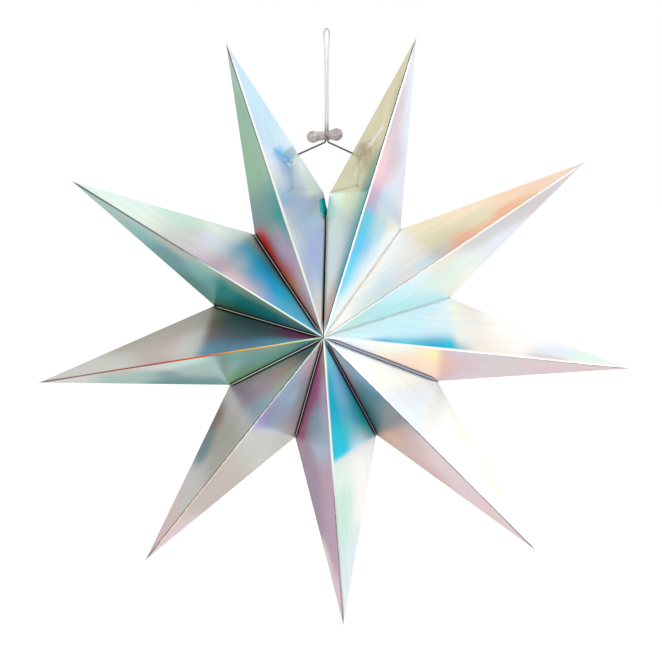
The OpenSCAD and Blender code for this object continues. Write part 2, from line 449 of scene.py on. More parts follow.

# Soft fields of colour on each panel: (colour, how far along from hub to tip, how far across from the
# ridge, size). The fields hold the foil's iridescent colours together with painted reflection and shade:
# those of the points on the left are mostly painted darker and those on the right near white, and the inner
# fields also carry the reflection of the panel across the valley. The inner fields end at the level of the
# valley's corner, and the outer ones begin there. The meeting line is (how far along it meets the ridge,
# how soft it is). A lift makes the inner fields lighter as a whole, as painted light, or darker if it is
# below 1, as painted shade.
PANELS = {
    (1, "left"): {
        "inner": [("rose_brown", 0.08, 0.5, 0.7), ("pink", 0.19, 0, 0.8), ("coral", 0.2, 0.4, 1),
            ("orange", 0.21, 0.75, 0.5), ("rust", 0.17, 1, 0.5), ("crimson", 0.29, 1, 0.8),
            ("crimson", 0.35, 0.95, 0.5), ("orchid", 0.3, 0.45, 0.5), ("haze", 0.3, 0, 0.5),
            ("deep_teal", 0.37, 0, 0.6), ("slate", 0.37, 0.5, 0.4)],
        "outer": [("deep_teal", 0.43, 0.1, 0.6), ("dark_sea", 0.46, 0.5, 0.6),
            ("slate", 0.43, 0.95, 0.6), ("sage", 0.58, 0.6, 1), ("sage", 0.72, 0.4, 1),
            ("teal_grey", 0.93, 0.5, 0.8)],
        "meet": (0.42, 0.06),
    },
    (1, "right"): {
        "lift": 0.91,
        "inner": [("ivory", 0.07, 0.4, 0.8), ("thistle", 0.2, 0.05, 0.5), ("periwinkle", 0.23, 0.5, 1),
            ("lavender", 0.31, 0.05, 0.6), ("periwinkle", 0.36, 0.5, 0.7), ("haze", 0.2, 1, 0.7),
            ("haze", 0.34, 1, 0.7)],
        "outer": [("cornflower", 0.44, 0.1, 0.6), ("periwinkle", 0.46, 0.5, 0.5),
            ("pale_mint", 0.47, 0.9, 0.7), ("lavender", 0.55, 0.1, 0.7), ("cornflower", 0.545, 0.5, 0.4),
            ("ice", 0.56, 0.9, 0.8), ("pale_sky", 0.7, 0.5, 1.1), ("pale_sky", 0.93, 0.5, 0.9)],
        "meet": (0.44, 0.03),
    },
    (2, "left"): {
        "inner": [("rose_brown", 0.08, 0.4, 0.8), ("deep_teal", 0.2, 0, 0.65),
            ("deep_teal", 0.29, 0, 0.7), ("deep_teal", 0.38, 0, 0.75), ("pale_yellow", 0.22, 0.6, 0.9),
            ("bright_mint", 0.21, 1, 0.9), ("pale_yellow", 0.33, 0.45, 0.8),
            ("bright_mint", 0.32, 1, 0.9), ("bright_mint", 0.39, 0.9, 0.7), ("straw", 0.41, 0.4, 0.6)],
        "outer": [("dark_sea", 0.47, 0, 0.5), ("sage", 0.55, 0, 0.5), ("straw", 0.46, 0.5, 0.6),
            ("khaki", 0.55, 0.45, 0.6), ("straw", 0.58, 0.95, 0.5), ("straw", 0.7, 0.6, 1),
            ("khaki", 0.8, 0.1, 0.5), ("straw", 0.92, 0.5, 0.8)],
        "meet": (0.48, 0.012),
    },
    (2, "right"): {
        "inner": [("ice", 0.07, 0.5, 0.8), ("sky", 0.22, 0.1, 0.8), ("sky", 0.32, 0.2, 0.8),
            ("pale_sky", 0.24, 0.6, 0.6), ("pale_sky", 0.37, 0.5, 0.4), ("white", 0.24, 1, 0.8),
            ("white", 0.37, 1, 0.6)],
        "outer": [("wisteria", 0.45, 0.1, 0.5), ("pale_sky", 0.44, 0.55, 0.5),
            ("lavender", 0.48, 0.95, 0.8), ("pink", 0.56, 0.1, 0.7), ("thistle", 0.6, 0.5, 0.6),
            ("thistle", 0.74, 0.3, 0.8), ("lavender", 0.74, 0.95, 0.8), ("lavender", 0.92, 0.5, 0.7)],
        "meet": (0.43, 0.05),
    },
    (3, "left"): {
        "inner": [("ivory", 0.08, 0.5, 0.8), ("soft_peach", 0.21, 0.1, 1), ("ivory", 0.26, 0.7, 1),
            ("soft_peach", 0.31, 0.1, 0.7), ("aqua", 0.38, 0.1, 0.4), ("soft_peach", 0.37, 0.5, 0.5),
            ("white", 0.38, 0.95, 0.6)],
        "outer": [("silver", 0.45, 0.15, 0.4), ("straw", 0.46, 0.5, 0.5), ("cream", 0.46, 0.95, 0.7),
            ("apricot", 0.55, 0.05, 0.6), ("straw", 0.6, 0.5, 0.6), ("cream", 0.6, 0.95, 0.7),
            ("apricot", 0.72, 0.1, 0.6), ("peach", 0.76, 0.8, 0.9), ("peach", 0.92, 0.4, 0.7)],
        "meet": (0.43, 0.07),
    },
    (3, "right"): {
        "inner": [("mint", 0.08, 0.5, 0.8), ("aqua", 0.2, 0.6, 0.9), ("ice", 0.3, 0.2, 0.9),
            ("pale_mint", 0.36, 0.5, 0.6), ("aqua", 0.31, 0.95, 0.8)],
        "outer": [("soft_peach", 0.44, 0.05, 0.5), ("pale_mint", 0.47, 0.5, 0.8),
            ("ivory", 0.46, 0.95, 0.7), ("mist", 0.58, 0.15, 0.7), ("lavender", 0.6, 0.9, 0.8),
            ("mist", 0.74, 0.3, 0.8), ("mist", 0.9, 0.5, 0.8)],
        "meet": (0.4, 0.05),
    },
    (4, "left"): {
        "inner": [("ice", 0.08, 0.6, 0.9), ("ice", 0.27, 0.9, 1.2), ("pale_sky", 0.26, 0.5, 0.7),
            ("azure", 0.2, 0, 0.45), ("turquoise", 0.27, 0, 0.5), ("azure", 0.33, 0, 0.5),
            ("turquoise", 0.4, 0, 0.5), ("ice", 0.38, 0.6, 0.6)],
        "outer": [("cerulean", 0.435, 0, 0.35), ("ivory", 0.5, 0.5, 1.4), ("soft_peach", 0.55, 0.1, 0.5),
            ("white", 0.62, 0.8, 1), ("mist", 0.72, 0.1, 0.5), ("lavender", 0.74, 0.5, 0.6),
            ("pale_mint", 0.9, 0.4, 0.8)],
        "meet": (0.43, 0.035),
    },
    (4, "right"): {
        "inner": [("lavender", 0.06, 0.4, 0.7), ("ivory", 0.18, 0.3, 0.9), ("peach", 0.26, 0.6, 0.8),
            ("peach", 0.33, 0.6, 0.6), ("butter", 0.35, 0.25, 0.4)],
        "outer": [("apricot", 0.385, 0.5, 0.5), ("orchid", 0.45, 0.5, 0.7), ("mist", 0.56, 0.5, 1.1),
            ("dusty_pink", 0.72, 0.5, 1.1), ("dusty_pink", 0.94, 0.5, 0.9)],
        "meet": (0.375, 0.03),
    },
    (5, "left"): {
        "lift": 1.06,
        "inner": [("bright", 0.06, 0.5, 0.8), ("bright", 0.25, 0.4, 1.6), ("bright", 0.34, 0.7, 1.2)],
        "outer": [("blaze", 0.46, 0.4, 0.8), ("blaze", 0.58, 0.4, 1.2), ("pale_yellow", 0.54, 1, 0.6),
            ("pale_yellow", 0.74, 0.9, 0.9), ("blaze", 0.8, 0.4, 1.2)],
        "meet": (0.44, 0.02),
    },
    (5, "right"): {
        "inner": [("dusty_rose", 0.08, 0.5, 0.8), ("haze", 0.18, 0, 0.6), ("graphite", 0.25, 0.5, 0.9),
            ("crimson", 0.14, 1, 0.45), ("wine", 0.21, 1, 0.4), ("soot", 0.29, 0.95, 0.6),
            ("graphite", 0.32, 0.2, 0.8)],
        "outer": [("taupe", 0.375, 0.1, 0.35), ("rose_brown", 0.375, 0.5, 0.45),
            ("tan", 0.395, 0.7, 0.5), ("rose_brown", 0.38, 1, 0.35), ("dusty_rose", 0.46, 0.6, 0.7),
            ("dusty_pink", 0.6, 0.4, 1), ("dusty_rose", 0.58, 0.95, 0.6),
            ("dusty_pink", 0.88, 0.6, 1.2)],
        "meet": (0.385, 0.05),
    },
    (6, "left"): {
        "lift": 1.3,
        "inner": [("cerulean", 0.09, 0.5, 0.8), ("turquoise", 0.2, 0, 0.8), ("turquoise", 0.31, 0, 0.9),
            ("cornflower", 0.19, 0.55, 0.6), ("cerulean", 0.3, 0.55, 0.6), ("deep_teal", 0.19, 1, 0.7),
            ("deep_teal", 0.31, 1, 0.8), ("turquoise", 0.4, 0.1, 0.6), ("pale_sky", 0.39, 0.65, 0.45),
            ("sea", 0.37, 1, 0.4)],
        "outer": [("pale_mint", 0.46, 0.2, 0.6), ("white", 0.46, 0.7, 0.8), ("mint", 0.57, 0.3, 0.7),
            ("ivory", 0.58, 0.95, 0.7), ("mint", 0.68, 0.2, 0.7), ("frost", 0.74, 0.8, 0.8),
            ("frost", 0.9, 0.5, 1)],
        "meet": (0.425, 0.018),
    },
    (6, "right"): {
        "inner": [("brown", 0.07, 0.3, 0.6), ("magenta", 0.17, 0.75, 0.8), ("mauve", 0.2, 0.15, 0.6),
            ("magenta", 0.3, 1, 0.7), ("haze", 0.33, 0.25, 0.7), ("slate", 0.3, 0.5, 0.5)],
        "outer": [("haze", 0.4, 0.3, 0.4), ("mauve", 0.48, 0.15, 0.7), ("plum", 0.47, 0.9, 0.8),
            ("mauve", 0.6, 0.2, 0.7), ("plum", 0.58, 0.9, 0.9), ("mauve", 0.72, 0.3, 0.9),
            ("mist", 0.78, 0.95, 0.5), ("orchid", 0.93, 0.5, 0.9)],
        "meet": (0.39, 0.05),
    },
    (7, "left"): {
        "lift": 1.24,
        "inner": [("silver", 0.08, 0.5, 0.8), ("haze", 0.2, 0.4, 0.9), ("pale_sky", 0.23, 0.55, 0.3),
            ("haze", 0.31, 0.5, 0.9), ("sage", 0.21, 1, 0.8), ("taupe", 0.31, 1, 0.7),
            ("violet", 0.36, 0.1, 0.5), ("silver", 0.37, 0.8, 0.6)],
        "outer": [("silver", 0.44, 0.5, 0.8), ("silver", 0.46, 0.9, 0.6), ("greige", 0.57, 0.3, 0.8),
            ("greige", 0.7, 0.2, 0.8), ("greige", 0.68, 0.9, 0.8), ("thistle", 0.84, 0.9, 0.6),
            ("dusty_pink", 0.9, 0.2, 0.9)],
        "meet": (0.395, 0.035),
    },
    (7, "right"): {
        "inner": [("soot", 0.07, 0.5, 0.8), ("rose_brown", 0.18, 0.5, 0.6), ("slate", 0.18, 1, 0.5),
            ("mauve", 0.28, 0.6, 0.6), ("taupe", 0.2, 0.1, 0.6), ("haze", 0.31, 0.1, 0.5),
            ("plum", 0.3, 1, 0.5)],
        "outer": [("mist", 0.365, 0.3, 0.6), ("mist", 0.38, 0.7, 0.5), ("silver", 0.39, 1, 0.4),
            ("taupe", 0.46, 0.4, 0.8), ("brown", 0.47, 1, 0.5), ("taupe", 0.57, 0.2, 0.7),
            ("slate", 0.58, 0.9, 0.5), ("silver", 0.7, 0.3, 0.8), ("mist", 0.72, 0.95, 0.6),
            ("dusty_pink", 0.9, 0.5, 1)],
        "meet": (0.375, 0.05),
    },
    (8, "left"): {
        "lift": 1.12,
        "inner": [("sea", 0.09, 0.5, 0.7), ("sage", 0.2, 0, 0.7), ("sea", 0.3, 0.1, 0.9),
            ("sea", 0.22, 0.6, 0.6), ("green", 0.25, 1, 0.8), ("teal_grey", 0.375, 0.3, 0.7)],
        "outer": [("mint", 0.47, 0, 0.5), ("teal_grey", 0.45, 0.4, 0.6), ("dark_sea", 0.47, 1, 0.6),
            ("silver", 0.58, 0, 0.6), ("slate", 0.57, 0.55, 0.35), ("teal_grey", 0.63, 0.5, 0.5),
            ("dark_sea", 0.56, 1, 0.6), ("greige", 0.72, 0.1, 0.6), ("teal_grey", 0.72, 0.6, 0.8),
            ("silver", 0.9, 0.5, 0.9)],
        "meet": (0.405, 0.05),
    },
    (8, "right"): {
        "inner": [("wine", 0.08, 0.8, 0.8), ("steel", 0.2, 0, 0.7), ("soot", 0.22, 0.8, 1),
            ("steel", 0.34, 0, 0.7), ("soot", 0.31, 0.95, 0.7), ("dark_grey", 0.3, 0.5, 0.6),
            ("olive", 0.38, 0.9, 0.4), ("brown", 0.38, 0.5, 0.4)],
        "outer": [("haze", 0.415, 0.1, 0.2), ("silver", 0.46, 0.3, 0.6), ("taupe", 0.47, 0.95, 0.7),
            ("greige", 0.58, 0.4, 0.8), ("taupe", 0.6, 1, 0.9), ("silver", 0.74, 0.3, 0.8),
            ("silver", 0.9, 0.5, 0.9)],
        "meet": (0.425, 0.04),
    },
    (9, "left"): {
        "inner": [("dark_sea", 0.08, 0.5, 0.6), ("sage", 0.2, 0, 0.7), ("deep_teal", 0.22, 0.5, 0.5),
            ("petrol", 0.24, 0.6, 0.8), ("sage", 0.29, 0, 0.6), ("deep_teal", 0.33, 0.5, 0.6),
            ("moss", 0.3, 1, 0.7)],
        "outer": [("deep_teal", 0.385, 0.5, 0.6), ("deep_green", 0.4, 1, 0.4), ("sage", 0.45, 0, 0.5),
            ("deep_green", 0.45, 1, 0.8), ("sea", 0.48, 0.4, 0.5), ("dark_sea", 0.56, 0.6, 0.6),
            ("taupe", 0.56, 0, 0.6), ("dark_sea", 0.62, 0.8, 0.6), ("sea", 0.72, 0.6, 0.6),
            ("teal_grey", 0.78, 0.4, 0.9), ("teal_grey", 0.9, 0.5, 0.9)],
        "meet": (0.39, 0.06),
    },
    (9, "right"): {
        "lift": 1.05,
        "inner": [("lagoon", 0.1, 0.5, 0.8), ("lagoon", 0.19, 0, 0.7), ("lake", 0.2, 0.6, 0.6),
            ("moss", 0.21, 1, 0.4), ("pink", 0.31, 0, 0.7), ("lagoon", 0.3, 0.4, 0.6),
            ("lake", 0.31, 0.7, 0.5), ("lagoon", 0.36, 0.6, 0.4), ("thistle", 0.37, 0.45, 0.35),
            ("moss", 0.29, 1, 0.6), ("olive", 0.37, 1, 0.5)],
        "outer": [("lagoon", 0.37, 0.55, 0.5), ("orchid", 0.41, 0.1, 0.7), ("lavender", 0.46, 0.5, 0.6),
            ("pale_mint", 0.46, 0.95, 0.6), ("silver", 0.58, 0.3, 0.9), ("mint", 0.62, 0.8, 0.6),
            ("pale_mint", 0.72, 0.4, 0.8), ("pale_mint", 0.88, 0.5, 1)],
        "meet": (0.39, 0.06),
    },
}

# Painted highlights and reflections along each ridge, where the rounded fold catches the light, on the left
# and the right of the fold: (width in mm, [(colour, how far along)])
RIDGE_HIGHLIGHTS_AND_REFLECTIONS = {
    1: {"left": (1.0, [("taupe", 0.38), ("dark_grey", 0.55), ("soot", 1)]),
        "right": (1.9, [("white", 0.92), ("taupe", 1)])},
    2: {"left": (1.2, [("deep_teal", 0.45), ("dark_grey", 0.55)]),
        "right": (1.8, [("white", 0.92), ("taupe", 1)])},
    3: {"left": (0.7, [("taupe", 0.35), ("tan", 0.5), ("dusty_pink", 1)]),
        "right": (1.6, [("white", 0.95), ("taupe", 1)])},
    4: {"left": (1.6, [("white", 0.95), ("taupe", 1)]),
        "right": (0.7, [("white", 0), ("dusty_pink", 0.4), ("mauve", 0.7), ("brown", 1)])},
    5: {"left": (0.7, [("white", 0), ("lavender", 0.3), ("silver", 1)]),
        "right": (0.9, [("dark_grey", 0.38), ("brown", 0.6), ("dark_grey", 1)])},
    6: {"left": (1.3, [("white", 0.42), ("silver", 0.6), ("taupe", 1)]),
        "right": (0.8, [("white", 0.4), ("brown", 0.55), ("dark_grey", 1)])},
    7: {"left": (0.9, [("white", 0.4), ("peach", 0.52), ("peach", 0.9), ("umber", 1)]),
        "right": (0.9, [("dark_grey", 0.38), ("umber", 0.55)])},
    8: {"left": (0.9, [("lime", 0.05), ("amber", 0.2), ("flame", 0.38), ("rust", 0.55), ("brown", 1)]),
        "right": (0.8, [("aqua", 0.05), ("amber", 0.26), ("flame", 0.42), ("rust", 0.6), ("brown", 1)])},
    9: {"left": (0.9, [("white", 0.42), ("brown", 0.55), ("deep_green", 1)]),
        "right": (0.8, [("aqua", 0), ("white", 0.3), ("slate", 0.5), ("dark_grey", 1)])},
}

# The painted shade in the groove of the valley after each point, clockwise: (how dark, how wide in mm,
# colour of its lip)
VALLEY_SHADES_AND_LIPS = {
    2: (0.10, 1.0, "white"),
    3: (0.25, 0.8, "white"),
    4: (0.80, 1.0, "violet_grey"),
    5: (1.00, 2.0, "mauve"),
    6: (1.00, 1.9, "dusty_pink"),
    7: (1.00, 1.9, "white"),
    8: (1.00, 1.8, "silver"),
    9: (1.00, 2.2, "silver"),
}
WIDE_VALLEY = 4
# How dark the painted shade on the two edges of its wide lip is
WIDE_LIP_EDGE = 0.35

# The slit has no lip: the left top point's edge is painted black, as the slit's shade, and the right one's
# white
SLIT_BLACK_W = 1.9 * MM
SLIT_WHITE_W = 1.8 * MM
SLIT_WHITE_FADE = 15 * MM
SLIT_BLACK_END = 9 * MM
SLIT_BLACK_FADE = 6 * MM
SLIT_FLANGE_COLOUR = "bright_teal"
SLIT_SHADE = 0.97
SLIT_SHADE_END = 7 * MM
SLIT_SHADE_FADE = 5 * MM

# A groove's painted shade needs a panel this many times as wide as itself to be at its darkest
GROOVE_NEEDS = 2.5
# How softly the painted highlight and reflection along a ridge ends
RIDGE_HIGHLIGHT_BLUR = 0.5 * MM

# Inside the valley's corner the panels also darken each other, so they are painted lighter there
INNER_LIFT = 0.8
INNER_RICHNESS = 1.22
BRIGHTEST = 1.3

# How far a field of size 1 spreads along and across its panel, and its weak share far away
FIELD_ALONG = 0.10
FIELD_ACROSS = 0.42
FIELD_FAR = 0.02

# What the cord's pull left on the two top points: strokes of colour, painted highlights and reflections
# where the foil is creased, as (start, end, half width, colour, how strong), in mm, as (across from the
# ridge, up from the hub)
CREASE_LIGHT_STROKES = {
    (1, "right"): [
        ((11, 184), (21, 168), 5.0, "sky", 0.7),
        ((10, 186), (16, 172), 1.2, "steel", 0.35),
        ((14, 170), (22, 165), 1.0, "steel", 0.45),
        ((17, 176), (21, 164), 0.9, "azure", 0.40),
        ((11, 177), (18, 161), 0.9, "steel", 0.35),
        ((30, 172), (21, 163), 1.2, "white", 0.9),
        ((20, 163), (15, 143), 0.8, "steel", 0.35),
        ((17, 160), (13, 147), 0.7, "steel", 0.25),
        ((15, 144), (11, 140), 1.6, "steel", 0.40),
        ((16, 142), (35, 130), 0.6, "teal_grey", 0.35),
        ((11, 141), (3, 139), 0.8, "steel", 0.30),
    ],
    (2, "left"): [
        ((28, 170), (19, 171), 1.3, "green", 0.35),
        ((20, 173), (13, 176), 1.5, "tan", 0.35),
        ((19, 170), (14, 147), 1.0, "taupe", 0.55),
        ((17, 168), (19, 150), 2.6, "cream", 0.45),
        ((38, 126), (14, 144), 0.7, "olive", 0.55),
        ((14, 144), (3, 148), 0.8, "tan", 0.35),
        ((15, 181), (6, 206), 1.3, "ivory", 0.85),
        ((22, 182), (13, 190), 1.0, "sage", 0.5),
        ((12, 172), (9, 160), 0.9, "taupe", 0.4),
    ],
}
# A small pressed dot on each of them: (across, up) in mm, colour, how strong
DOTS = {
    (1, "right"): ((14.8, 142.6), "steel", 0.8),
    (2, "left"): ((13.1, 143.9), "brown", 0.9),
}
DOT_R = 1.2 * MM
DOT_DEPTH = 0.2 * MM

# Relief of the same creases: (start, end, height, half width) in mm
PULLED = {
    (1, "right"): [
        ((27.6, 171.9), (18.0, 164.0), 0.3, 1.6), ((18.0, 164.0), (12.0, 178.0), -0.25, 3.0),
        ((18.0, 164.0), (14.8, 142.6), -0.15, 1.5), ((24.0, 170.0), (8.0, 186.0), 0.2, 3.0),
    ],
    (2, "left"): [
        ((27.6, 171.9), (19.3, 171.4), 0.3, 1.6), ((19.3, 171.4), (13.1, 143.9), -0.15, 1.5),
        ((11.0, 180.0), (5.0, 208.0), 0.25, 2.2), ((24.0, 174.0), (10.0, 178.0), -0.25, 3.0),
    ],
}
# How much of a crease's length each of its ends takes to fade out
CREASE_FADE = 0.12
# The crumpled patch around the hole: height, and where, how far and how wide its waves are, in mm
CRUMPLE = 0.07 * MM
CRUMPLE_AT = (18, 168)
CRUMPLE_REACH = (9, 15)
CRUMPLE_WAVES = (1.9, 2.7)
# How far the panels bow in and how uneven they are, and where along them that begins and ends
BOW = 0.35 * MM
UNEVEN = 0.3 * MM
WAVE_FROM = 10 * MM
WAVE_FADE = 60 * MM


def panel_paint(panel, along, across, corner_along):
    """The foil's colour at each place of a panel, with the painted reflection and shade in its fields."""

    def blend(fields):
        total = np.zeros(along.shape + (3,))
        weights = np.full(along.shape, 1e-9)
        for name, a, c, size in fields:
            far = ((along - a) / (FIELD_ALONG * size)) ** 2 + ((across - c) / (FIELD_ACROSS * size)) ** 2
            w = np.exp(-far) + FIELD_FAR / (1 + far * far)
            total += w[..., None] * LINEAR[name]
            weights += w
        return total / weights[..., None]

    at_ridge, softness = panel["meet"]
    line = at_ridge + (corner_along - at_ridge) * across
    outer_share = smooth_step((along - line) / softness + 0.5)[..., None]
    inner = panel.get("lift", 1) * blend(panel["inner"]) ** INNER_LIFT
    grey = inner.mean(axis=-1, keepdims=True)
    inner = np.clip(grey + (inner - grey) * INNER_RICHNESS, 0, BRIGHTEST)
    return inner * (1 - outer_share) + blend(panel["outer"]) * outer_share


# The painted highlight and reflection along a ridge, at each place along it
def ridge_highlight_paint(number, side_name, along):
    stops = RIDGE_HIGHLIGHTS_AND_REFLECTIONS[number][side_name][1]
    places = [at for _, at in stops]
    return np.stack(
        [np.interp(along, places, [LINEAR[name][i] for name, _ in stops]) for i in range(3)], axis=-1
    )


def crease(x, z, start, end, width):
    """1 on a line between two places, fading out across it and at its ends."""
    start, end = np.array(start) * MM, np.array(end) * MM
    line = end - start
    long = np.hypot(*line)
    t = ((x - start[0]) * line[0] + (z - start[1]) * line[1]) / long**2
    off = ((x - start[0]) * -line[1] + (z - start[1]) * line[0]) / long
    inside = smooth_step(t / CREASE_FADE + 0.5) * smooth_step((1 - t) / CREASE_FADE + 0.5)
    return np.exp(-((off / (width * MM)) ** 2)) * inside


def crease_light_paint(key, x, z, colour):
    """Adds the painted highlights and reflections on the creases, and the dot, that the cord's pull left."""
    for start, end, width, name, strength in CREASE_LIGHT_STROKES.get(key, ()):
        share = strength * crease(x, z, start, end, width)[..., None]
        colour = colour * (1 - share) + LINEAR[name] * share
    if key in DOTS:
        (dx, dz), name, strength = DOTS[key]
        off = ((x - dx * MM) ** 2 + (z - dz * MM) ** 2) / DOT_R**2
        share = strength * np.exp(-off)[..., None]
        colour = colour * (1 - share) + LINEAR[name] * share
    return colour


def pulled_relief(key, x, z):
    """How far the card stands out where the cord pulls it."""
    out = np.zeros_like(x)
    for start, end, height, width in PULLED.get(key, ()):
        out += height * MM * crease(x, z, start, end, width)
    if key in DOTS:
        dx, dz = DOTS[key][0]
        out -= DOT_DEPTH * np.exp(-(((x - dx * MM) ** 2 + (z - dz * MM) ** 2) / DOT_R**2))
        off = [(v / MM - at) / reach for v, at, reach in zip((x, z), CRUMPLE_AT, CRUMPLE_REACH)]
        across, up = CRUMPLE_WAVES
        wave = np.sin(x / (across * MM)) * np.sin(z / (up * MM) + 1.3)
        out += CRUMPLE * np.exp(-(off[0] ** 2 + off[1] ** 2)) * wave
    return out


def ripple(x, z, seed):
    """A gentle unevenness between -1 and 1."""
    a, b = x / (38 * MM), z / (95 * MM)
    return (
        0.5 * np.sin(2.1 * a + 3.0 * b + 1.7 * seed)
        + 0.3 * np.sin(-3.7 * a + 5.3 * b + 2.9 * seed)
        + 0.2 * np.sin(5.9 * a + 9.1 * b + 4.3 * seed)
    )


# The folded points
class Side:
    """One side of a point with its tip up: where its panels end, at a valley or at the outer fold."""

    def __init__(self, free):
        self.free = free
        self.half = TOP_HALF if free else HALF
        r = FREE_VALLEY_R if free else VALLEY_R
        valley = r * spoke(self.half)
        self.slope = HUB_H * (1 - valley[2] / TIP_R) / valley[0]
        self.alpha = math.atan(1 / self.slope)
        self.beta = math.pi / 2 - self.alpha
        self.wall_gap = (SLIT_W if free else GLUE_T) / 2
        start = SPREAD_FROM * spoke(self.half) - self.wall_gap * spoke(self.half + 90)
        self.spread_x, self.spread_z = start[0], start[2]
        low, high = valley[2] / 2, TIP_R
        for _ in range(60):
            middle = (low + high) / 2
            if self.wall_x(middle) < self.outer_x(middle):
                low = middle
            else:
                high = middle
        self.corner_z = low

    def wall_x(self, z):
        h = math.radians(self.half)
        x = z * math.tan(h) - self.wall_gap / math.cos(h)
        if self.free:
            turn = math.tan(math.radians(self.half - SPREAD_ANGLE))
            x = np.minimum(x, self.spread_x + (z - self.spread_z) * turn)
        return x

    def outer_x(self, z):
        return HUB_H * (1 - z / TIP_R) / self.slope

    def end_x(self, z):
        return np.maximum(np.minimum(self.wall_x(z), self.outer_x(z)), NARROWEST)


def stations(corners, inner_count, outer_count):
    """Heights from the hub to the tip, with a row at each valley corner."""
    rows = [HUB_START + (corners[0] - HUB_START) * np.linspace(0, 1, inner_count) ** 1.2]
    for a, b in zip(corners, corners[1:]):
        if b - a > 1e-5:
            rows.append(np.linspace(a, b, max(4, inner_count // 5))[1:])
    rows.append(corners[-1] + (TIP_R - corners[-1]) * np.linspace(0, 1, outer_count)[1:])
    return np.concatenate(rows)


def flat_columns(start, last, count):
    """Where the columns of a flat panel lie: closer together along both of its folds."""
    width = (last - start)[:, None]
    scale = np.minimum(1, width / EDGE_COLUMNS_FULL_W)
    near = start[:, None] + EDGE_COLUMNS * scale
    far = last[:, None] - EDGE_COLUMNS[::-1] * scale
    t = np.linspace(0, 1, count + 2)[1:-1]
    between = near[:, -1:] + (far[:, :1] - near[:, -1:]) * t
    return np.concatenate([near, between, far], axis=1)


def ridge_y(z):
    return -HUB_H * (1 - z / TIP_R)


def ridge_fold(side, z, end):
    """The columns of the rounded ridge, and where the flat panel starts beside it."""
    long = np.hypot(end, side.slope * end)
    tangent = np.minimum(RIDGE_RADIUS / math.tan(side.alpha), RIDGE_SHARE * long)
    radius = (tangent * math.tan(side.alpha))[:, None]
    turn = np.linspace(0, math.pi / 2 - side.alpha, RIDGE_STEPS + 1)[:-1]
    middle = ridge_y(z)[:, None] + radius / math.sin(side.alpha)
    return radius * np.sin(turn), middle - radius * np.cos(turn), tangent * math.sin(side.alpha)


def outer_radius(side, end, near_corner):
    """The radius of the fold between front and back, smaller where the panel is narrow."""
    long = np.hypot(end, side.slope * end)
    return np.minimum(OUTER_RADIUS * near_corner, OUTER_SHARE * long * math.tan(side.beta))


def outer_fold(side, end, radius, colour):
    """The columns of the rounded outer fold, with their colours."""
    turn = np.linspace(math.pi / 2 - side.beta, 0, OUTER_STEPS + 1)[1:]
    middle = end - radius / math.sin(side.beta)
    x = middle[:, None] + radius[:, None] * np.cos(turn)
    y = -radius[:, None] * np.sin(turn)
    return x, y, np.repeat(colour[:, -1:], x.shape[1], axis=1)


def wall_columns(side, z, end, last, lip, lip_w, has_lip, opened):
    """The lip of a valley, where there is one, and the flange that turns in at it."""
    end_y = ridge_y(z) + side.slope * end
    columns_x, columns_y = [], []
    if has_lip:
        last_y = ridge_y(z) + side.slope * last
        radius = lip_w / 2 * lip
        top = end_y - (LIP_H + side.slope * lip_w / 2) * lip
        for angle in np.linspace(0, math.pi, LIP_STEPS):
            columns_x.append(end - radius - radius * math.cos(angle))
            columns_y.append(np.minimum(top - radius * math.sin(angle), last_y))
    slope_length = math.hypot(VALLEY_R, HUB_H) / VALLEY_R
    depth = np.minimum(FLANGE_W * slope_length, np.maximum(-end_y - RELIEF_W / 2, 0))
    for share in np.linspace(0, 1, FLANGE_STEPS + 1):
        columns_x.append(end + opened * share)
        columns_y.append(end_y + depth * share)
    return np.stack(columns_x, axis=1), np.stack(columns_y, axis=1)


def wall_colours(number, side, valley, has_lip, z, shape):
    rgb = np.empty(shape + (3,))
    # The flanges inside a valley are painted dark grey, as painted shade in the groove; in the slit the
    # flange is darkened further as painted shade
    rgb[:] = LINEAR[SLIT_FLANGE_COLOUR if side.free else "dark_grey"]
    if side.free:
        in_slit = smooth_step((OPEN_FROM + SLIT_SHADE_END - z) / SLIT_SHADE_FADE)
        rgb *= (1 - SLIT_SHADE * in_slit)[:, None, None]
    if has_lip:
        rgb[:, : LIP_STEPS + 1] = LINEAR[valley[2]]
        if number == WIDE_VALLEY:
            # Painted shade along the two edges of the wide lip
            rgb[:, [0, LIP_STEPS - 1, LIP_STEPS]] *= WIDE_LIP_EDGE
    return rgb


def groove_shade_paint(side, side_name, valley, to_edge, end, z, colour):
    """Adds the painted shade of the groove beside a valley, or the painted black shade and the white edge of
    the slit.
    """
    if side.free and side_name == "left":
        white = np.exp(-((to_edge / SLIT_WHITE_W) ** 4)) * smooth_step((OPEN_TO - z) / SLIT_WHITE_FADE)
        return colour + (LINEAR["white"] - colour) * white[..., None]
    # The painted shade of the groove, or of the slit
    dark, width = (1, SLIT_BLACK_W) if side.free else (valley[0], valley[1] * MM)
    dark = dark * np.exp(-((to_edge / width) ** 4)) * smooth_step(end[:, None] / (GROOVE_NEEDS * width))
    if side.free:
        dark = dark * smooth_step((OPEN_FROM + SLIT_BLACK_END - z) / SLIT_BLACK_FADE)
    return colour * (1 - dark)[..., None]


def panel_lift(x, z, across, seed, pulled_key):
    """How far the card stands out from a flat panel: its waves, and where the cord pulls it."""
    window = np.sqrt(4 * across * (1 - across)) * smooth_step((TIP_R - z) / WAVE_FADE)
    window *= smooth_step((z - WAVE_FROM) / WAVE_FADE)
    window[:, :RIDGE_STEPS] = 0
    lift = window * (UNEVEN * ripple(x, z, seed) - BOW * window)
    return lift + np.minimum(1, 3 * window) * pulled_relief(pulled_key, x, z)


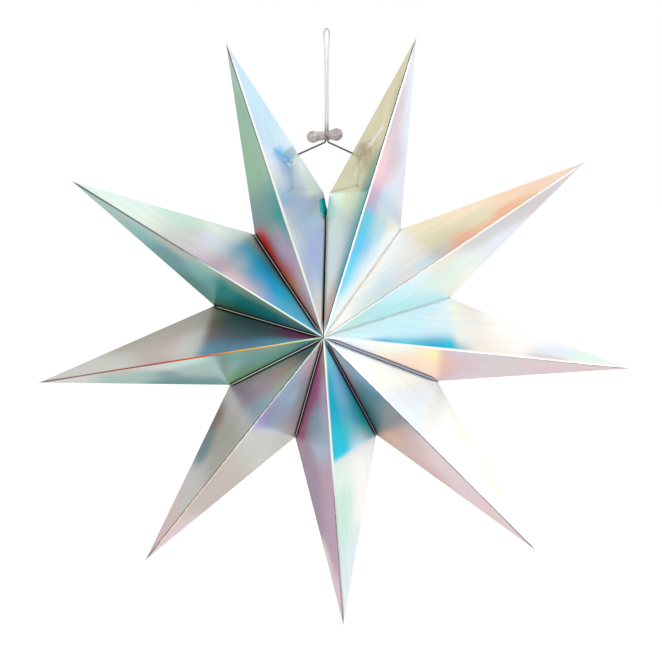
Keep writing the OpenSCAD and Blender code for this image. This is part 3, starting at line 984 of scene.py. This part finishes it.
def panel_colour(paint_key, pulled_key, x, z, across, end, corner_z):
    """The fields of colour, the painted highlights and reflections on the creases of the cord's pull, and
    the painted highlight and reflection along the ridge.
    """
    along = z / TIP_R
    colour = panel_paint(PANELS[paint_key], along, across, corner_z / TIP_R)
    colour = crease_light_paint(pulled_key, x, z, colour)
    number, side_name = paint_key
    # Paints the highlight and reflection along the ridge
    line = np.minimum(RIDGE_HIGHLIGHTS_AND_REFLECTIONS[number][side_name][0] * MM, end / 2)[:, None]
    on_ridge_highlight = 1 - smooth_step((x - line + RIDGE_HIGHLIGHT_BLUR / 2) / RIDGE_HIGHLIGHT_BLUR)
    return colour + (ridge_highlight_paint(number, side_name, along) - colour) * on_ridge_highlight[..., None]


def panel_grids(number, side_name, face, side, zs, columns):
    """The two parts of a panel, inside and outside the valley's corner: grids of places and colours."""
    back = face > 0
    key = (number, side_name)
    paint_key = back_paint(number, side_name) if back else key
    pulled_key = None if back else key
    lip_w = WIDE_LIP_W if number == WIDE_VALLEY else LIP_W
    has_lip = side_name == "right" and not side.free
    valley = None if side.free else VALLEY_SHADES_AND_LIPS[number if side_name == "right" else point_before(number)]
    seed = number * 2 + (side_name == "left") + 0.5 * back
    mirror = 1 if side_name == "right" else -1
    grids = []
    for inner in (True, False):
        z = zs[zs <= side.corner_z + SAME] if inner else zs[zs >= side.corner_z - SAME]
        end = side.end_x(z)
        opened = np.zeros_like(z)
        if inner and pulled_key == (1, "right"):
            rise = smooth_step((z - OPEN_FROM) / OPEN_FADE)
            opened = OPEN_W * rise * smooth_step((OPEN_TO - z) / OPEN_EDGE)
            end = end - opened
        near_corner = smooth_step(np.abs(z - side.corner_z) / SOFTEN)
        lip = np.zeros_like(z)
        if inner:
            if has_lip:
                lip = near_corner * smooth_step((z - HUB_START) / LIP_FADE)
            last = end - lip_w * lip
        else:
            radius = outer_radius(side, end, near_corner)
            last = end - radius / math.tan(side.beta) * math.cos(side.beta)

        arc_x, arc_y, start = ridge_fold(side, z, end)
        flat_x = flat_columns(start, last, columns)
        x = np.concatenate([arc_x, flat_x], axis=1)
        y = np.concatenate([arc_y, ridge_y(z)[:, None] + side.slope * flat_x], axis=1)
        zz = np.repeat(z[:, None], x.shape[1], axis=1)
        across = np.clip(x / end[:, None], 0, 1)
        lift = panel_lift(x, zz, across, seed, pulled_key)
        colour = panel_colour(paint_key, pulled_key, x, zz, across, end, side.corner_z)
        if inner:
            to_edge = end[:, None] - x - lip_w * lip[:, None]
            colour = groove_shade_paint(side, side_name, valley, to_edge, end, zz, colour)
            tail_x, tail_y = wall_columns(side, z, end, last, lip, lip_w, has_lip, opened)
            tail_rgb = wall_colours(number, side, valley, has_lip, z, tail_x.shape)
        else:
            tail_x, tail_y, tail_rgb = outer_fold(side, end, radius, colour)

        x = np.concatenate([x + lift * math.cos(side.alpha), tail_x], axis=1)
        y = np.concatenate([y - lift * math.sin(side.alpha), tail_y], axis=1)
        zz = np.repeat(z[:, None], x.shape[1], axis=1)
        rgb = np.concatenate([colour, tail_rgb], axis=1)
        sheet = np.stack([x * mirror, zz, np.full_like(x, seed * SHEETS_APART)], axis=-1)
        place = np.stack([x * mirror, -face * y, zz], axis=-1)
        grids.append((place, rgb, sheet))
    return grids


def back_paint(number, side_name):
    """The back of each point has the colours of the point opposite, seen the other way round."""
    other = (number + 3) % TIP_COUNT + 1
    return other, "left" if side_name == "right" else "right"


def build_point(number, foil, card):
    """One folded sheet, as the node point_N: four panels, their folds, and the flanges of its valleys."""
    sides = {"left": Side(free=number == 2), "right": Side(free=number == 1)}
    is_top = number in (1, 2)
    corners = [side.corner_z for side in sides.values()]
    if is_top:
        corners += [OPEN_TO - OPEN_EDGE, OPEN_TO]
    corners.sort()
    zs = stations(corners, *(TOP_ROWS if is_top else ROWS))

    bm = bmesh.new()
    paint = bm.verts.layers.float_color.new("paint")
    sheet_layer = bm.verts.layers.float_vector.new("sheet")
    for side_name, side in sides.items():
        for face in (-1, 1):
            columns = FINE_COLUMNS if side.free and face < 0 else COLUMNS
            for place, rgb, sheet in panel_grids(number, side_name, face, side, zs, columns):
                place = placed(number, place)
                rows, cols = place.shape[:2]
                verts = []
                for i in range(rows):
                    row = []
                    for j in range(cols):
                        v = bm.verts.new(place[i, j])
                        v[paint] = (*np.clip(rgb[i, j], 0, BRIGHTEST), 1)
                        v[sheet_layer] = sheet[i, j]
                        row.append(v)
                    verts.append(row)
                turned = (side_name == "right") != (face > 0)
                for i in range(rows - 1):
                    for j in range(cols - 1):
                        quad = [verts[i][j], verts[i][j + 1], verts[i + 1][j + 1], verts[i + 1][j]]
                        bm.faces.new(quad if turned else quad[::-1])
    bmesh.ops.remove_doubles(bm, verts=bm.verts, dist=MERGE)
    bmesh.ops.dissolve_degenerate(bm, dist=DEGENERATE, edges=bm.edges)
    obj = mesh_object(f"foil_point_{number}", bm, foil, card)
    thicken = obj.modifiers.new("card thickness", "SOLIDIFY")
    thicken.thickness = CARD_T
    thicken.offset = -1
    thicken.material_offset = 1
    thicken.material_offset_rim = 1
    settle(obj)
    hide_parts(f"point_{number}")
    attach(obj, "star")


def settle(obj, angle=SHARP_ANGLE):
    """Applies the modifiers, and shades folds sharper than the angle as edges."""
    evaluated = obj.evaluated_get(bpy.context.evaluated_depsgraph_get())
    mesh = bpy.data.meshes.new_from_object(evaluated)
    mesh.name = obj.data.name
    obj.modifiers.clear()
    obj.data = mesh
    mesh.shade_smooth()
    mesh.set_sharp_from_angle(angle=math.radians(angle))


# The cord and what is on it. The route repeats the solids' own, in mm.
CORD_D = 1.8 * MM
HOLE_FROM_TIP = 132 * MM
KNOT_D = 4.6 * MM
KNOT_FLAT = 0.8 * KNOT_D / 2
KNOT_RING = 0.80 * MM
KNOT_SWING = 0.55 * MM
KNOT_STEPS = 60
SLOT_GAP = 0.3 * MM
STRAND = [
    (2.6, -111.4), (1.6, -110.5), (1.1, -109), (1.1, -106), (1.1, -98), (1.1, -90), (1.1, -82),
    (1.1, -74), (1.1, -66), (1.1, -58), (1.1, -50), (1.2, -42), (1.35, -34), (1.5, -26), (1.8, -19),
    (2.2, -13), (2.5, -7.5), (2.6, -3.5), (1.9, -0.8),
]
LEG_STEPS = 4
WAIST_D = 9.6 * MM
WAIST_DIP = 0.25 * MM
WAIST_REACH = 0.27
WAIST_STEPS = 9
NECK_FILLET_ANGLE = 12
STOP_END_STEPS = 22
STOP_TURNS = 64
SLOT_STEPS = 17
LEFT_END_D = 12 * MM
RIGHT_END_D = 12.6 * MM
STOP_PITCH = 23.6 * MM
STOP_OFF = 2 * MM
STOP_TILT = 5.5
STOP_DROP = 104.5 * MM


def cord_holes():
    """The cord hole and the knot behind it, in the left top point with its tip up."""
    corner, tip = FREE_VALLEY_R * spoke(TOP_HALF), TIP_R * spoke(0)
    crease_line = (corner - tip) / np.linalg.norm(corner - tip)
    out = np.cross([0, 1, 0], -crease_line)
    hole = tip + HOLE_FROM_TIP * crease_line
    front = np.cross(tip - [0, -HUB_H, 0], corner - [0, -HUB_H, 0])
    front /= np.linalg.norm(front)
    between = math.pi - math.acos(1 - 2 * front[1] ** 2)
    knot_in = (CARD_T + KNOT_D / 2 + SLOT_GAP) / math.sin(between / 2)
    return hole, hole - knot_in * out


def cord_route():
    hole, knot = cord_holes()
    knots = placed(1, knot), placed(2, knot * np.array([-1, 1, 1]))
    halves = []
    for side, at in zip((-1, 1), knots):
        up = [np.array([side * x * MM, 0, z * MM]) for x, z in STRAND]
        start = at + KNOT_FLAT * (up[0] - at) / np.linalg.norm(up[0] - at)
        leg = [start + (up[0] - start) * i / LEG_STEPS for i in range(LEG_STEPS)]
        halves.append(leg + up)
    loop_top = np.array([0, 0, CORD_D / 2])
    return halves[0] + [loop_top] + halves[1][::-1], knots, placed(1, hole)


def smooth_line(points, steps):
    """A smooth line through the points."""
    line = []
    for i in range(len(points) - 1):
        a, b = points[max(i - 1, 0)], points[i]
        c, d = points[i + 1], points[min(i + 2, len(points) - 1)]
        for k in range(steps):
            t = k / steps
            curve = 2 * b + (c - a) * t + (2 * a - 5 * b + 4 * c - d) * t**2
            line.append(0.5 * (curve + (3 * b - a - 3 * c + d) * t**3))
    return line + [points[-1]]


def curve_object(name, line, diameter, material, closed=False):
    data = bpy.data.curves.new(name, "CURVE")
    data.dimensions = "3D"
    data.bevel_depth = diameter / 2
    data.bevel_resolution = 5
    data.use_fill_caps = True
    spline = data.splines.new("POLY")
    spline.points.add(len(line) - 1)
    for point, place in zip(spline.points, line):
        point.co = (*place, 1)
    spline.use_cyclic_u = closed
    data.materials.append(material)
    return add_object(name, data)


def build_knot(name, at, towards, material):
    """An overhand knot pulled tight."""
    along = Vector(towards - at).normalized()
    turn = along.to_track_quat("Z", "Y").to_matrix()
    line = []
    for t in np.linspace(0, 2 * math.pi, KNOT_STEPS, endpoint=False):
        r = KNOT_RING + KNOT_SWING * math.cos(3 * t)
        step = Vector((r * math.cos(2 * t), r * math.sin(2 * t), KNOT_SWING * math.sin(3 * t)))
        line.append(Vector(at) + turn @ step)
    knot = curve_object(name, line, CORD_D, material, closed=True)
    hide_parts(name.replace("tied_", ""))
    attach(knot, "star")
    return knot


def stop_profile():
    """The stop's outline as (along its length, radius), with round ends and filleted necks."""
    left, right = -STOP_PITCH / 2, STOP_PITCH / 2
    ends = []
    for centre, radius, sign in ((left, LEFT_END_D / 2, -1), (right, RIGHT_END_D / 2, 1)):
        neck = math.degrees(math.asin(WAIST_D / 2 / radius))
        half = []
        for degrees in np.linspace(0, 180 - neck - NECK_FILLET_ANGLE, STOP_END_STEPS):
            a = math.radians(degrees)
            half.append((centre + sign * radius * math.cos(a), radius * math.sin(a)))
        ends.append(half)
    waist = []
    for x in np.linspace(-WAIST_REACH, WAIST_REACH, WAIST_STEPS) * STOP_PITCH:
        waist.append((x, WAIST_D / 2 - WAIST_DIP * math.cos(x / STOP_PITCH * math.pi)))
    return ends[0] + waist + ends[1][::-1]


def build_stop(material):
    """The clear stop: a body of revolution with a slot through its waist for both strands."""
    bm = bmesh.new()
    rings = []
    for x, r in stop_profile():
        if r < 1e-6:
            rings.append([bm.verts.new((x, 0, 0))])
            continue
        ring = []
        for k in range(STOP_TURNS):
            a = 2 * math.pi * k / STOP_TURNS
            ring.append(bm.verts.new((x, r * math.cos(a), r * math.sin(a))))
        rings.append(ring)
    for a, b in zip(rings, rings[1:]):
        for k in range(STOP_TURNS):
            n = (k + 1) % STOP_TURNS
            if len(a) == 1:
                bm.faces.new((a[0], b[k], b[n]))
            elif len(b) == 1:
                bm.faces.new((a[k], b[0], a[n]))
            else:
                bm.faces.new((a[k], b[k], b[n], a[n]))
    bmesh.ops.recalc_face_normals(bm, faces=bm.faces)
    bm.transform(
        Matrix.Translation((-STOP_OFF, 0, -STOP_DROP)) @ Matrix.Rotation(math.radians(-STOP_TILT), 4, "Y")
    )
    stop = mesh_object("clear_stop", bm, material)
    cutter = slot_cutter()
    cut = stop.modifiers.new("slot", "BOOLEAN")
    cut.operation = "DIFFERENCE"
    cut.solver = "EXACT"
    cut.object = cutter
    settle(stop, STOP_SHARP_ANGLE)
    bpy.data.objects.remove(cutter)
    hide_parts("cord_stop")
    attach(stop, "stop")
    return stop


def slot_cutter():
    """What the slot takes out of the stop: room for both strands, side by side."""
    slot = bmesh.new()
    outline = []
    radius, off = CORD_D / 2 + SLOT_GAP, STRAND[3][0] * MM
    for side, first in ((1, -90), (-1, 90)):
        for degrees in np.linspace(first, first + 180, SLOT_STEPS):
            a = math.radians(degrees)
            outline.append((side * off + radius * math.cos(a), radius * math.sin(a)))
    low = [slot.verts.new((x, y, -STOP_DROP - WAIST_D)) for x, y in outline]
    high = [slot.verts.new((x, y, -STOP_DROP + WAIST_D)) for x, y in outline]
    count = len(outline)
    for k in range(count):
        n = (k + 1) % count
        slot.faces.new((low[k], low[n], high[n], high[k]))
    slot.faces.new(low[::-1])
    slot.faces.new(high)
    return mesh_object("slot_cutter", slot)


def build_cord():
    cord_look, plastic = cord_material(), stop_material()
    route, knots, hole = cord_route()
    line = smooth_line(route, 4)
    cord = curve_object("hanging_cord", line, CORD_D, cord_look)
    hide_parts("cord")
    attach(cord, "star")
    left = build_knot("tied_knot_left", knots[0], route[LEG_STEPS], cord_look)
    right = build_knot("tied_knot_right", knots[1], route[-LEG_STEPS - 1], cord_look)
    stop = build_stop(plastic)


# The room
FLOOR_DROP = 1.15
FLOOR_SIZE = 60
FLOOR_GREY = 0.86
FLOOR_GLOW = 1.25
FLOOR_GLOW_SHARE = 0.7
# The brightest side of the room, and how bright it is there and on the other side, for all but the camera
BRIGHT_SIDE = (0.75, -0.25, 0.6)
BRIGHT_LEVEL = 1.02
DIM_LEVEL = 0.72
# Where it stops being dim and is fully bright: 1 looks to the brightest side and -1 looks away from it
DIM_UNTIL = -0.9
BRIGHT_FROM = 0.5
# The lamps: (name, place, size, watts)
LAMPS = [
    ("key", (1.5, -1.9, 1.1), 1.2, 14),
    ("fill", (-1.6, -2.2, 0.2), 1.6, 6),
]


def seen_directly(nodes, links):
    """1 for rays from the camera, or by way of metal or glass."""
    path = nodes.new("ShaderNodeLightPath")
    total = path.outputs["Is Camera Ray"]
    for name in ("Is Glossy Ray", "Is Transmission Ray"):
        most = nodes.new("ShaderNodeMath")
        most.operation = "MAXIMUM"
        links.new(total, most.inputs[0])
        links.new(path.outputs[name], most.inputs[1])
        total = most.outputs[0]
    return total


def make_floor():
    mesh = bpy.data.meshes.new("floor")
    s = FLOOR_SIZE / 2
    corners = [(x, y, -FLOOR_DROP) for x, y in ((-s, -s), (s, -s), (s, s), (-s, s))]
    mesh.from_pydata(corners, [], [(0, 1, 2, 3)])
    floor = add_object("floor", mesh)
    material, nodes, links, shader = new_material("floor")
    nodes.remove(shader)
    pale = nodes.new("ShaderNodeBsdfDiffuse")
    pale.inputs["Color"].default_value = (FLOOR_GREY, FLOOR_GREY, FLOOR_GREY, 1)
    white = nodes.new("ShaderNodeEmission")
    white.inputs["Strength"].default_value = FLOOR_GLOW
    share = nodes.new("ShaderNodeMath")
    share.operation = "MULTIPLY"
    share.inputs[1].default_value = FLOOR_GLOW_SHARE
    links.new(seen_directly(nodes, links), share.inputs[0])
    mix = nodes.new("ShaderNodeMixShader")
    links.new(share.outputs[0], mix.inputs["Fac"])
    links.new(pale.outputs[0], mix.inputs[1])
    links.new(white.outputs[0], mix.inputs[2])
    links.new(mix.outputs[0], nodes["Material Output"].inputs["Surface"])
    mesh.materials.append(material)


def make_world():
    """White behind the star, and a little greyer from below and from the left."""
    world = bpy.data.worlds.new("studio")
    bpy.context.scene.world = world
    world.use_nodes = True
    nodes, links = world.node_tree.nodes, world.node_tree.links
    background = nodes["Background"]
    where = nodes.new("ShaderNodeTexCoord").outputs["Generated"]
    toward = nodes.new("ShaderNodeVectorMath")
    toward.operation = "DOT_PRODUCT"
    toward.inputs[1].default_value = Vector(BRIGHT_SIDE).normalized()
    links.new(where, toward.inputs[0])
    level = map_range(nodes, links, toward.outputs["Value"], DIM_LEVEL, BRIGHT_LEVEL, DIM_UNTIL, BRIGHT_FROM)
    path = nodes.new("ShaderNodeLightPath")
    mix = nodes.new("ShaderNodeMix")
    mix.data_type = "FLOAT"
    links.new(path.outputs["Is Camera Ray"], mix.inputs["Factor"])
    links.new(level, mix.inputs["A"])
    mix.inputs["B"].default_value = 1.0
    links.new(mix.outputs["Result"], background.inputs["Strength"])
    background.inputs["Color"].default_value = (1, 1, 1, 1)


def make_lamp(name, place, size, watts):
    data = bpy.data.lights.new(name, "AREA")
    data.shape = "DISK"
    data.size = size
    data.energy = watts
    lamp = add_object(name, data)
    lamp.location = place
    aim = STAR_MIDDLE - Vector(place)
    lamp.rotation_mode = "QUATERNION"
    lamp.rotation_quaternion = aim.to_track_quat("-Z", "Y")


def main():
    make_camera()
    build_cord()
    foil, card = foil_material(), card_material()
    for number in range(1, TIP_COUNT + 1):
        build_point(number, foil, card)
    make_floor()
    make_world()
    for lamp in LAMPS:
        make_lamp(*lamp)
    bpy.context.scene.view_settings.view_transform = "Standard"


main()
